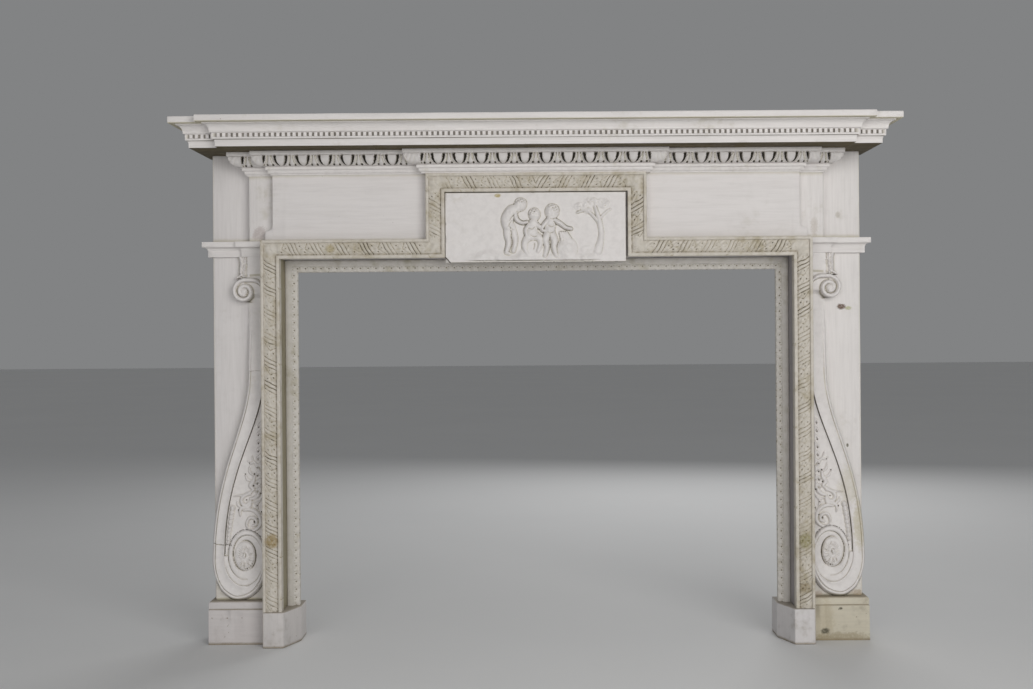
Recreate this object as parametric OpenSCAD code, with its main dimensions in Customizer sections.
// Carved pine chimneypiece: a crossetted architrave round the opening, a raised tablet
// in the middle of the frieze, scrolled consoles on the side boards and a broken cornice.
// X runs along the wall, the front faces -Y, and every depth below is measured out from
// the wall, because that is how the pieces are planted on each other.

/* [Opening] */
// Clear width between the slips
opening_w = 1402; // [1150:1:1700]
// Clear height from the floor to the head slip
opening_h = 1077; // [890:1:1300]

/* [Slips] */
// Visible width of the slips that line the opening
slip_w = 35; // [28:1:60]
// Thickness of the slips
slip_t = 25; // [18:1:35]
// From the wall to the face of the slips
slip_out = 88; // [80:1:92]
// Width of the sloping bead band on the inner edge of a slip
slip_band_w = 17; // [10:1:22]
// How far the bead band falls back at the inner edge
slip_band_fall = 9; // [4:1:14]

/* [Architrave and tablet frame] */
// Width of the architrave moulding
arch_w = 54; // [46:1:70]
// Thickness of the architrave moulding
arch_t = 35; // [30:1:45]
// Width of the plain fillet along the inner edge
arch_inner_fillet = 10; // [6:1:14]
// Width of the plain fillet along the outer edge
arch_outer_fillet = 8.5; // [5:0.5:12]
// How far the inner fillet lies back from the outer one
arch_step = 3; // [1:0.5:6]
// Depth of the grooves on both sides of the carved band
arch_groove = 6; // [3:0.5:9]

/* [Tablet] */
// Width of the carved tablet
tablet_w = 513; // [400:1:600]
// Thickness of the tablet
tablet_t = 28; // [20:1:32]
// Gap between the tablet and its frame
tablet_gap = 5.5; // [2:0.5:10]
// How far the tablet hangs below the architrave
tablet_drop = 14; // [0:1:25]

/* [Frieze] */
// Height of the frieze between architrave and bed mould
frieze_h = 188; // [150:1:230]
// Thickness of the frieze board
frieze_t = 25; // [18:1:32]
// From the wall to the face of the frieze board
frieze_out = 150; // [135:1:185]
// From the outer edge of the architrave back to the outer edge of the frieze
frieze_inset = 30; // [20:1:40]
// How far the ogee foot of the frieze flares out again
foot_flare = 22; // [12:1:28]
// Height of the straight part of that foot
foot_h = 16; // [8:1:30]
// Height of the ogee above it
ogee_h = 26; // [16:1:40]

/* [Frieze strips] */
// How far a strip reaches past the outer edge of the architrave
strip_reach = 42; // [34:1:60]

/* [Side boards] */
// Width of a side board beyond the architrave
board_w = 155; // [150:1:200]
// Thickness of the side boards and returns
board_t = 25; // [18:1:30]
// From the wall to the face of the side boards
board_out = 92; // [80:1:105]

/* [Bed mould] */
// Height of the bed mould
bed_h = 65; // [56:1:76]
// Projection of the bed mould
bed_proj = 54; // [46:1:60]
// How far its centre stands out from the frieze
bed_centre_step = 26; // [15:1:34]
// How far the centre block passes the tablet frame on each side
bed_centre_lap = 8; // [0:1:20]
// Eggs over each side of the frieze
side_eggs = 6; // [3:1:8]
// Eggs over the tablet
centre_eggs = 10; // [6:1:12]
// Radius of an egg
egg_r = 13.5; // [8:0.5:15]
// Room kept for the leaf on each corner of the centre block
corner_leaf = 16; // [8:1:30]

/* [Cornice] */
// Thickness of the corona board
corona_t = 20; // [16:1:28]
// How far the corona passes the side boards at the ends
corona_over = 25; // [10:1:40]
// Height of the crown moulding
crown_h = 44; // [38:1:60]
// Thickness of the crown moulding behind the corona face
crown_back = 40; // [25:1:60]
// Thickness of the shelf board
shelf_t = 19; // [16:1:30]
// Depth of the shelf from the wall
shelf_d = 350; // [330:1:420]
// How far the shelf edge stands out from the corona face
shelf_over = 47; // [40:1:60]
// How far the cornice steps back near its ends
end_step = 30; // [15:1:40]
// Gap between the bed mould's end and that step
step_clear = 4; // [0:1:15]
// Spacing of the upright bars in the carved course
bar_pitch = 21; // [16:1:30]
// Width of an upright bar
bar_w = 10; // [6:1:14]

/* [Imposts] */
// Height of the impost mould
impost_h = 44; // [36:1:60]
// Projection of the impost mould
impost_proj = 27; // [18:1:36]
// How far the impost steps forward over the console
impost_step = 13; // [6:1:20]
// Length of that forward step
impost_step_w = 55; // [35:1:80]

/* [Plinths] */
// Height of the outer plinths
outer_plinth_h = 125; // [100:1:150]
// From the wall to the front of the outer plinths
outer_plinth_out = 138; // [134:1:160]
// How far an outer plinth passes the side board
outer_plinth_over = 11; // [4:1:25]
// Height of the cap band on the outer plinths
cap_h = 22; // [14:1:34]
// Size of the bevel round that band
cap_bevel = 5; // [2:1:8]
// Height of the inner plinths
inner_plinth_h = 102; // [80:1:115]
// How far an inner plinth stands out from the architrave
inner_plinth_over = 5; // [2:1:15]
// How far an inner plinth reaches past the slip into the opening
inner_plinth_lap = 6; // [2:1:12]

/* [Consoles] */
// Thickness of a console at its raised edges
console_t = 40; // [32:1:42]
// Thickness of the sunk ground between the scrolls
ground_t = 28; // [22:1:31]
// Depth of the hollow between the band's two fillets
hollow = 8; // [4:1:12]
// Width of the console's neck
neck_w = 50; // [40:1:56]
// How far the console's swell passes the board's outer edge
swell_over = 2; // [0:1:8]
// Width of the band at its swell
band_w = 36; // [30:1:46]
// Height above the outer plinth where the neck begins to swing out
bend_z = 665; // [560:1:700]
// Half width of the rosette in the lower volute
rosette_w = 30; // [22:1:32]
// Stretch of the lower volute, height over width
oval = 1.45; // [1.1:0.01:1.5]
// Centre of the lower volute, as a share of the way from the architrave to the swell
oval_place = 0.39; // [0.36:0.01:0.44]
// Room left under the lower volute
oval_clear = 10; // [4:1:30]
// Radius of the upper volute at its top
volute_r = 40; // [32:1:44]
// From the impost down to the centre of the upper volute
volute_drop = 101; // [80:1:130]
// From the architrave to the centre of the upper volute
volute_in = 54; // [50:1:66]
// Radius of the upper volute's eye
eye_r = 10; // [6:1:14]

/* [Hidden] */
$fn = 48;
BONE = "#e9e6dc";
GRIMED = "#d8d1b8";
BARE = "#8f8264";
STONE_WHITE = "#d9d6cc";

wall_y = shelf_d / 2;
slip_x = opening_w / 2;
arch_x = slip_x + slip_w;
arch_edge_x = arch_x + arch_w;
board_x = arch_edge_x + board_w;
strip_x = arch_edge_x + strip_reach;
frieze_x = arch_edge_x - frieze_inset;
frame_x = tablet_w / 2 + tablet_gap;
frame_edge_x = frame_x + arch_w;
centre_x = frame_edge_x + bed_centre_lap;
corona_x = board_x + corona_over;
step_x = strip_x + bed_proj + step_clear;
plinth_x = board_x + outer_plinth_over;

strip_out = frieze_out - frieze_t;
arch_out = frieze_out + arch_t;
tablet_out = frieze_out + tablet_t;
post_back = slip_out - slip_t;
board_back = board_out - board_t;
centre_out = frieze_out + bed_centre_step;
corona_out = shelf_d - shelf_over;
end_out = corona_out - end_step;
inner_plinth_out = arch_out + inner_plinth_over;

arch_z = opening_h + slip_w;
arch_top_z = arch_z + arch_w;
bed_z = arch_top_z + frieze_h;
corona_z = bed_z + bed_h;
crown_z = corona_z + corona_t;
shelf_z = crown_z + crown_h;
frame_z = bed_z - arch_w;
impost_z = arch_top_z - impost_h;

// The world Y of a plane that stands a distance out from the wall.
function out(distance) = wall_y - distance;

// A point on a cubic curve through two ends a and d, drawn by the handles b and c.
function curve(a, b, c, d, t) =
    a * (1 - t) ^ 3 + 3 * b * t * (1 - t) ^ 2 + 3 * c * t ^ 2 * (1 - t) + d * t ^ 3;

// A quarter hollow or quarter round between two corners of a section.
function quarter(a, b, round_side, steps = 6) = [
    for (i = [0:steps]) let (t = 90 * i / steps)
        round_side
            ? [a[0] + (b[0] - a[0]) * sin(t), a[1] + (b[1] - a[1]) * (1 - cos(t))]
            : [a[0] + (b[0] - a[0]) * (1 - cos(t)), a[1] + (b[1] - a[1]) * sin(t)]
];

// +1 where a path turns left and its moulding has an outer mitre, -1 where it turns right.
function mitre(path, i) =
    i == 0 || i == len(path) - 1 ? 0 :
    let (a = path[i] - path[i - 1], b = path[i + 1] - path[i])
        sign(a[0] * b[1] - a[1] * b[0]);

// The half path of a right-hand side, completed by its mirror image.
function both_sides(half) = concat(
    [for (i = [len(half) - 1:-1:0]) [-half[i][0], half[i][1]]], half);

// Sweeps a section of [projection, height] points round a path of square corners.
// The section stands on the right of the path and its back lies in_depth behind it.
module mitred_run(path, section, reach, in_depth = 0) {
    top = max([for (q = section) q[1]]);
    spare = reach + in_depth;
    for (i = [0:len(path) - 2]) {
        step = path[i + 1] - path[i];
        run = norm(step);
        k0 = mitre(path, i);
        k1 = mitre(path, i + 1);
        translate([path[i][0], path[i][1], 0])
            rotate([0, 0, atan2(step[1], step[0])])
                intersection() {
                    translate([-spare, 0, 0])
                        rotate([90, 0, 90])
                            linear_extrude(run + 2 * spare)
                                polygon([for (q = section) [-q[0], q[1]]]);
                    linear_extrude(top)
                        polygon([
                            [k0 * in_depth, in_depth], [run - k1 * in_depth, in_depth],
                            [run + k1 * reach, -reach], [-k0 * reach, -reach],
                        ]);
                }
    }
}

// One length of flat moulding: local X along it, Y across it from the inner edge, Z out.
// An end mitre of +1 makes the outer edge longer, -1 makes it shorter and 0 is square.
module flat_length(section, width, run, start, end) {
    thick = max([for (q = section) q[1]]);
    intersection() {
        translate([-width, 0, 0])
            rotate([90, 0, 90])
                linear_extrude(run + 2 * width)
                    polygon(section);
        linear_extrude(thick)
            polygon([
                [0, 0], [run, 0], [run + end * width, width], [-start * width, width],
            ]);
    }
}

// Lays a length across, its inner edge starting at (x, z) and its back on a plane.
module across(x, z, back) {
    translate([x, out(back), z]) rotate([90, 0, 0]) children();
}

// Stands a length up on the left side, its inner edge starting at (x, z).
module upright(x, z, back) {
    translate([x, out(back), z]) rotate([0, -90, 0]) rotate([90, 0, 0]) children();
}

// A board with its front and back planes given by their distances from the wall.
module board(x0, x1, z0, z1, back, front) {
    translate([x0, out(front), z0]) cube([x1 - x0, front - back, z1 - z0]);
}

// An outline of [x, z] points, extruded forward from a plane.
module planted(back, thick) {
    translate([0, out(back), 0]) rotate([90, 0, 0]) linear_extrude(thick) children();
}

// ---------------------------------------------------------------- cornice

corona_path = both_sides([
    [step_x, out(corona_out)], [step_x, out(end_out)],
    [corona_x, out(end_out)], [corona_x, wall_y],
]);

module shelf_board() {
    nose = 3;
    half = [
        [step_x + shelf_over, out(shelf_d)],
        [step_x + shelf_over, out(shelf_d - end_step)],
        [corona_x + shelf_over, out(shelf_d - end_step)],
        [corona_x + shelf_over, wall_y],
    ];
    edge = concat(
        [[-crown_back, 0], [0, 0]],
        quarter([0, shelf_t - nose], [-nose, shelf_t], false, 3),
        [[-crown_back, shelf_t]]);
    color(BONE)
        translate([0, 0, shelf_z]) {
            mitred_run(both_sides(half), edge, shelf_t, crown_back);
            linear_extrude(shelf_t)
                shelf_plan(crown_back);
        }
}

// The plan of the shelf, drawn in by a margin on the three free sides.
module shelf_plan(margin) {
    front_x = step_x + shelf_over - margin;
    end_x = corona_x + shelf_over - margin;
    polygon(both_sides([
        [front_x, out(shelf_d - margin)], [front_x, out(shelf_d - end_step - margin)],
        [end_x, out(shelf_d - end_step - margin)], [end_x, wall_y],
    ]));
}

module crown_moulding() {
    course_h = 18;
    course_proj = 8;
    bar_proj = 4;
    course_cap = 2;
    hollow_base = course_proj + bar_proj + 1;
    hollow_top = 30;
    lip_h = 3;
    section = concat(
        [[-crown_back, 0], [course_proj, 0], [course_proj, course_h],
         [hollow_base, course_h]],
        quarter([hollow_base, course_h + course_cap], [hollow_top, crown_h - lip_h], false),
        [[hollow_top, crown_h], [-crown_back, crown_h]]);
    color(BONE)
        translate([0, 0, crown_z]) {
            mitred_run(corona_path, section, hollow_top + 1, crown_back);
            for (i = [0:len(corona_path) - 2])
                course_bars(corona_path[i], corona_path[i + 1], course_proj, bar_proj,
                            course_h);
        }
}

// The upright bars of the carved course, centred on one straight stretch of it.
module course_bars(from, to, base, proj, height) {
    step = to - from;
    run = norm(step);
    count = floor((run - bar_w) / bar_pitch);
    if (count > 1)
        translate([from[0], from[1], 0])
            rotate([0, 0, atan2(step[1], step[0])])
                for (i = [0:count])
                    translate([run / 2 + (i - count / 2) * bar_pitch - bar_w / 2,
                               -base - proj, 2])
                        cube([bar_w, proj + 1, height - 3]);
}

module corona_board() {
    lip = 6;
    fillet = 10;
    section = concat(
        [[-crown_back, 0], [0, 0]],
        quarter([0, fillet], [lip, corona_t], false, 4),
        [[-crown_back, corona_t]]);
    color(BONE)
        translate([0, 0, corona_z]) {
            mitred_run(corona_path, section, lip + 1, crown_back);
            linear_extrude(corona_t)
                polygon(both_sides([
                    [step_x - crown_back, out(corona_out - crown_back)],
                    [step_x - crown_back, out(end_out - crown_back)],
                    [corona_x - crown_back, out(end_out - crown_back)],
                    [corona_x - crown_back, wall_y],
                ]));
        }
}

// ---------------------------------------------------------------- bed mould

module bed_mould() {
    half = [
        [centre_x, out(centre_out)], [centre_x, out(frieze_out)],
        [frieze_x, out(frieze_out)], [frieze_x, out(strip_out)],
        [strip_x, out(strip_out)], [strip_x, out(board_out)],
    ];
    foot_proj = 4;
    cove_proj = 11;
    bead_proj = 17;
    bead_z = 14;
    ovolo_z = 25;
    ovolo_top = bed_h - 12;
    ovolo_proj = bed_proj - 6;
    ease = 3;
    section = concat(
        [[0, 0], [foot_proj, 0]],
        quarter([foot_proj, ease], [cove_proj, bead_z - 2], true, 4),
        [[cove_proj, bead_z], [bead_proj - ease, bead_z], [bead_proj, bead_z + ease],
         [bead_proj, ovolo_z - 2], [bead_proj - ease, ovolo_z]],
        quarter([bead_proj, ovolo_z], [ovolo_proj, ovolo_top], true),
        [[bed_proj - 2, ovolo_top], [bed_proj, ovolo_top + 2], [bed_proj, bed_h],
         [0, bed_h]]);
    color(BONE)
        translate([0, 0, bed_z]) {
            mitred_run(both_sides(half), section, bed_proj + 1);
            translate([-centre_x, out(centre_out), 0])
                cube([2 * centre_x, bed_centre_step, bed_h]);
            egg_z = (ovolo_z + ovolo_top) / 2 + 1;
            egg_out = (bead_proj + ovolo_proj) / 2;
            for (side = [-1, 1])
                egg_row(side * (centre_x + bed_proj + frieze_x) / 2,
                        frieze_out + egg_out, egg_z,
                        (frieze_x - centre_x - bed_proj) / side_eggs, side_eggs);
            egg_row(0, centre_out + egg_out, egg_z,
                    2 * (centre_x - corner_leaf) / centre_eggs, centre_eggs);
        }
}

// A row of eggs about a middle point, set into the ovolo.
module egg_row(x, distance, z, pitch, count) {
    for (i = [0:count - 1])
        translate([x + (i - (count - 1) / 2) * pitch, out(distance), z])
            sphere(r = egg_r);
}

// ---------------------------------------------------------------- frieze and tablet

module frieze_board() {
    foot_x = frieze_x + foot_flare;
    ogee_z = arch_top_z + foot_h;
    half = concat(
        [[arch_x, arch_z], [arch_x, arch_top_z], [foot_x, arch_top_z], [foot_x, ogee_z]],
        [for (t = [0.1:0.1:1])
            curve([foot_x, ogee_z], [foot_x, ogee_z + ogee_h * 0.7],
                  [frieze_x, ogee_z + ogee_h * 0.3], [frieze_x, ogee_z + ogee_h], t)],
        [[frieze_x, corona_z]]);
    color(BONE)
        planted(strip_out, frieze_t)
            polygon(both_sides(half));
}

module tablet() {
    margin = 6;
    sink = 2;
    half_w = tablet_w / 2;
    bottom = arch_z - tablet_drop;
    top = frame_z - tablet_gap;
    color(BONE)
        difference() {
            board(-half_w, half_w, bottom, top, frieze_out, tablet_out);
            board(-half_w + margin, half_w - margin, bottom + margin, top - margin,
                  tablet_out - sink, tablet_out + 1);
        }
}

module frieze_strip(side) {
    color(BONE)
        mirror([side < 0 ? 1 : 0, 0, 0])
            board(arch_x, strip_x, arch_top_z, corona_z, board_out, strip_out);
}

// ---------------------------------------------------------------- architrave

// Section across the architrave: inner fillet, carved cushion band and outer fillet.
architrave_section = let (
        face = arch_t - arch_step,
        groove_w = 1.5,
        swell = arch_groove - 1,
        band_from = arch_inner_fillet + groove_w,
        band_to = arch_w - arch_outer_fillet - groove_w
    ) concat(
        [[0, 0], [0, face], [arch_inner_fillet, face],
         [arch_inner_fillet, face - arch_groove]],
        [for (t = [0:0.125:1])
            [band_from + (band_to - band_from) * t,
             face - arch_groove + t * arch_step + swell * sin(180 * t)]],
        [[arch_w - arch_outer_fillet, arch_t - arch_groove],
         [arch_w - arch_outer_fillet, arch_t], [arch_w, arch_t], [arch_w, 0]]);

module architrave_jamb(side) {
    color(GRIMED)
        mirror([side < 0 ? 0 : 1, 0, 0])
            upright(-arch_x, inner_plinth_h, frieze_out)
                flat_length(architrave_section, arch_w, arch_z - inner_plinth_h, 0, 1);
}

module architrave_head(side) {
    color(GRIMED)
        mirror([side < 0 ? 0 : 1, 0, 0])
            across(-arch_x, arch_z, frieze_out)
                flat_length(architrave_section, arch_w, arch_x - frame_x, 1, -1);
}

module frame_side(side) {
    color(GRIMED)
        mirror([side < 0 ? 0 : 1, 0, 0])
            upright(-frame_x, arch_z, frieze_out)
                flat_length(architrave_section, arch_w, frame_z - arch_z, -1, 1);
}

module frame_top() {
    color(GRIMED)
        across(-frame_x, frame_z, frieze_out)
            flat_length(architrave_section, arch_w, 2 * frame_x, 1, 1);
}

// ---------------------------------------------------------------- jambs and slips

module jamb_post(side) {
    color(BARE)
        mirror([side < 0 ? 1 : 0, 0, 0])
            board(arch_x, arch_edge_x, inner_plinth_h, arch_top_z, post_back, frieze_out);
}

module head_lining() {
    lining_t = 20;
    color(BARE)
        board(-arch_x, arch_x, arch_z, arch_z + lining_t, post_back, strip_out);
}

slip_section = let (inner = slip_t - slip_band_fall) concat(
    [[0, 0], [0, inner]],
    quarter([0, inner], [slip_band_w, slip_t - 1], true, 4),
    [[slip_band_w, slip_t], [slip_w, slip_t], [slip_w, 0]]);

module slip_jamb(side) {
    color(GRIMED)
        mirror([side < 0 ? 0 : 1, 0, 0])
            upright(-slip_x, inner_plinth_h, post_back)
                flat_length(slip_section, slip_w, opening_h - inner_plinth_h, 0, 1);
}

module slip_head() {
    color(GRIMED)
        across(-slip_x, opening_h, post_back)
            flat_length(slip_section, slip_w, opening_w, 1, 1);
}

// ---------------------------------------------------------------- side boards

module side_board(side) {
    color(BONE)
        mirror([side < 0 ? 1 : 0, 0, 0])
            board(arch_edge_x, board_x, outer_plinth_h, corona_z, board_back, board_out);
}

module side_return(side) {
    color(BONE)
        mirror([side < 0 ? 1 : 0, 0, 0])
            board(board_x - board_t, board_x, outer_plinth_h, corona_z, 0, board_back);
}

module impost(side) {
    fascia_h = 19;
    fascia_proj = impost_proj * 0.45;
    fillet_h = 16;
    reveal = 3;
    step_edge_x = arch_edge_x + impost_step_w;
    path = [
        [arch_edge_x, out(board_out + impost_step)],
        [step_edge_x, out(board_out + impost_step)],
        [step_edge_x, out(board_out)], [board_x, out(board_out)], [board_x, wall_y],
    ];
    section = concat(
        [[0, 0], [fascia_proj, 0], [fascia_proj, fascia_h]],
        quarter([fascia_proj + 1, fascia_h],
                [impost_proj - reveal, impost_h - fillet_h], false, 4),
        [[impost_proj, impost_h - fillet_h], [impost_proj, impost_h], [0, impost_h]]);
    color(BONE)
        mirror([side < 0 ? 1 : 0, 0, 0])
            translate([0, 0, impost_z]) {
                mitred_run(path, section, impost_proj + 1);
                translate([arch_edge_x, out(board_out + impost_step), 0])
                    cube([impost_step_w, impost_step, impost_h]);
            }
}

// ---------------------------------------------------------------- plinths

module outer_plinth(side) {
    reveal = 2;
    cap_z = outer_plinth_h - cap_h;
    path = [
        [arch_edge_x, out(outer_plinth_out)], [plinth_x, out(outer_plinth_out)],
        [plinth_x, wall_y],
    ];
    in_depth = 20;
    section = [
        [-in_depth, 0], [0, 0], [0, cap_z - reveal], [-reveal, cap_z - reveal],
        [-reveal, cap_z], [-1, cap_z], [-1, outer_plinth_h - cap_bevel],
        [-cap_bevel, outer_plinth_h], [-in_depth, outer_plinth_h],
    ];
    color(STONE_WHITE)
        mirror([side < 0 ? 1 : 0, 0, 0]) {
            mitred_run(path, section, 1, in_depth);
            board(arch_edge_x, plinth_x - in_depth, 0, outer_plinth_h, 0,
                  outer_plinth_out - in_depth);
        }
}

module inner_plinth(side) {
    toe_out = slip_out + 4;
    toe_x = slip_x - inner_plinth_lap;
    front_x = arch_x - inner_plinth_lap;
    color(STONE_WHITE)
        mirror([side < 0 ? 1 : 0, 0, 0])
            linear_extrude(inner_plinth_h)
                polygon([
                    [arch_edge_x, wall_y], [arch_edge_x, out(inner_plinth_out)],
                    [front_x, out(inner_plinth_out)], [toe_x, out(toe_out)],
                    [toe_x, wall_y],
                ]);
}

// ---------------------------------------------------------------- consoles

swell_x = board_x + swell_over;
neck_x = arch_edge_x + neck_w;
bend = outer_plinth_h + bend_z;
oval_turns = 1.25;
rosette_clear = 11;
volute_x = arch_edge_x + volute_in;
volute_z = impost_z - volute_drop;
oval_x = arch_edge_x + (swell_x - arch_edge_x) * oval_place;
oval_r = swell_x - oval_x;
oval_z = outer_plinth_h + oval_clear + oval_radius(0.25) * oval;

// A point of the swinging band: across 0 is its outer edge and 1 its inner edge.
function band_point(along, across) =
    let (
        neck_gap = 3,
        lean_in = 10 * (1 - across),
        top_x = neck_x - across * (neck_w - neck_gap),
        low_x = swell_x - across * band_w,
        reach = bend - oval_z
    )
    curve([top_x, bend], [top_x, bend - reach * 0.31],
          [low_x - lean_in, oval_z + reach * 0.5], [low_x, oval_z], along);

// The band between two shares of its width, from the bend down to the lower volute.
function band_strip(from, to) = concat(
    [for (t = [0:0.05:1]) band_point(t, from)],
    [for (t = [1:-0.05:0]) band_point(t, to)]);

// Radius of the lower volute after a number of turns, measured across it.
function oval_radius(turns) =
    oval_r - (oval_r - rosette_w - rosette_clear) * min(turns, oval_turns);

// A stretch of the lower volute, between two inward shares of the band's own width.
function oval_strip(from, to) =
    let (
        steps = 44,
        turns = oval_turns,
        width = function (t) band_w * (1 - 0.75 * t / turns),
        spot = function (t, share)
            let (r = oval_radius(t) - share * width(t))
                [oval_x + r * cos(360 * t), oval_z - r * oval * sin(360 * t)]
    )
    concat(
        [for (i = [0:steps]) spot(turns * i / steps, from)],
        [for (i = [steps:-1:0]) spot(turns * i / steps, to)]);

// Keeps a shape clear of the architrave, the plinth and the impost.
module console_bounds() {
    intersection() {
        children();
        translate([arch_edge_x, outer_plinth_h])
            square([swell_x - arch_edge_x, impost_z - outer_plinth_h]);
    }
}

// A spiral band of the upper volute, from the neck over the top and in to the eye.
function scroll_strip(from, to) =
    let (
        steps = 32,
        turns = 1.6,
        rim = 9,
        eye_gap = 4,
        spot = function (t, share)
            let (r = volute_r - (volute_r - eye_r - eye_gap) * (t / turns) ^ 0.8
                     - share * rim)
                [volute_x + r * sin(360 * t), volute_z + r * cos(360 * t)]
    )
    concat(
        [for (i = [0:steps]) spot(turns * i / steps, from)],
        [for (i = [steps:-1:0]) spot(turns * i / steps, to)]);

module console_ground() {
    console_bounds() {
        polygon(concat(
            [[arch_edge_x, outer_plinth_h], [arch_edge_x, bend]],
            [for (t = [0:0.05:1]) band_point(t, 0.5)],
            [[swell_x - band_w / 2, outer_plinth_h]]));
        translate([oval_x, oval_z]) scale([1, oval]) circle(r = oval_r * 0.8, $fn = 64);
    }
}

module console_neck() {
    crown = volute_z + volute_r;
    polygon(concat(
        [[arch_edge_x, bend], [neck_x, bend], [neck_x, volute_z - volute_r * 0.6],
         [volute_x, volute_z]],
        [for (t = [0:0.1:1])
            curve([volute_x, crown], [volute_x - volute_in * 0.43, crown + 4],
                  [arch_edge_x + 6, crown], [arch_edge_x, volute_z + eye_r], t)]));
}

module console_leaf() {
    half_w = 15;
    sink = 6;
    middle_x = volute_x - 3;
    foot = volute_z + volute_r - sink;
    steps = 10;
    edge = [for (i = [0:steps]) let (t = i / steps)
        [middle_x + half_w * (1 - 0.25 * abs(sin(540 * t))) * (0.75 + 0.25 * t),
         foot + (impost_z - foot) * t]];
    polygon(concat(edge,
        [for (i = [steps:-1:0]) [2 * middle_x - edge[i][0], edge[i][1]]]));
}

module console(side) {
    fillet = 0.14;
    body_t = console_t - hollow;
    color(BONE)
        mirror([side < 0 ? 1 : 0, 0, 0]) {
            planted(board_out, ground_t) console_ground();
            planted(board_out, body_t) {
                polygon(band_strip(0, 1));
                console_neck();
                console_bounds() polygon(oval_strip(0, 1));
                console_leaf();
                translate([volute_x, volute_z]) circle(r = volute_r * 0.6);
            }
            planted(board_out, console_t) {
                polygon(band_strip(0, fillet));
                polygon(band_strip(1 - fillet, 1));
                console_bounds() {
                    polygon(oval_strip(0, fillet));
                    polygon(oval_strip(1 - fillet, 1));
                }
                polygon(scroll_strip(0, 1));
                translate([volute_x, volute_z]) circle(r = eye_r);
            }
            rosette();
            bead_chain();
        }
}

// The flower in the middle of the lower volute: a cupped disc with petals and a button.
module rosette() {
    petals = 12;
    disc_t = ground_t + 4;
    bloom_y = out(board_out + ground_t + 1);
    planted(board_out, disc_t)
        translate([oval_x, oval_z]) scale([1, oval]) circle(r = rosette_w);
    for (i = [0:petals - 1])
        let (a = 360 * i / petals, r = rosette_w * 0.62)
            translate([oval_x + r * cos(a), bloom_y, oval_z + r * oval * sin(a)])
                sphere(r = rosette_w * 0.2);
    translate([oval_x, bloom_y, oval_z])
        sphere(r = rosette_w * 0.34);
}

// Graduated beads down the inner side of the band.
module bead_chain() {
    beads = 7;
    smallest_r = 4.2;
    growth = 0.45;
    for (i = [0:beads - 1])
        let (spot = band_point(0.66 + 0.045 * i, 1.17))
            translate([spot[0], out(board_out + ground_t), spot[1]])
                sphere(r = smallest_r + growth * i);
}

shelf_board();
crown_moulding();
corona_board();
bed_mould();
frieze_board();
tablet();
frame_top();
frame_side(-1);  // frame_left
frame_side(1);  // frame_right
architrave_head(-1);  // architrave_head_left
architrave_head(1);  // architrave_head_right
architrave_jamb(-1);  // architrave_jamb_left
architrave_jamb(1);  // architrave_jamb_right
jamb_post(-1);  // jamb_post_left
jamb_post(1);  // jamb_post_right
head_lining();
slip_jamb(-1);  // slip_left
slip_jamb(1);  // slip_right
slip_head();
frieze_strip(-1);  // frieze_strip_left
frieze_strip(1);  // frieze_strip_right
side_board(-1);  // side_board_left
side_board(1);  // side_board_right
side_return(-1);  // side_return_left
side_return(1);  // side_return_right
impost(-1);  // impost_left
impost(1);  // impost_right
console(-1);  // console_left
console(1);  // console_right
outer_plinth(-1);  // outer_plinth_left
outer_plinth(1);  // outer_plinth_right
inner_plinth(-1);  // inner_plinth_left
inner_plinth(1);  // inner_plinth_right
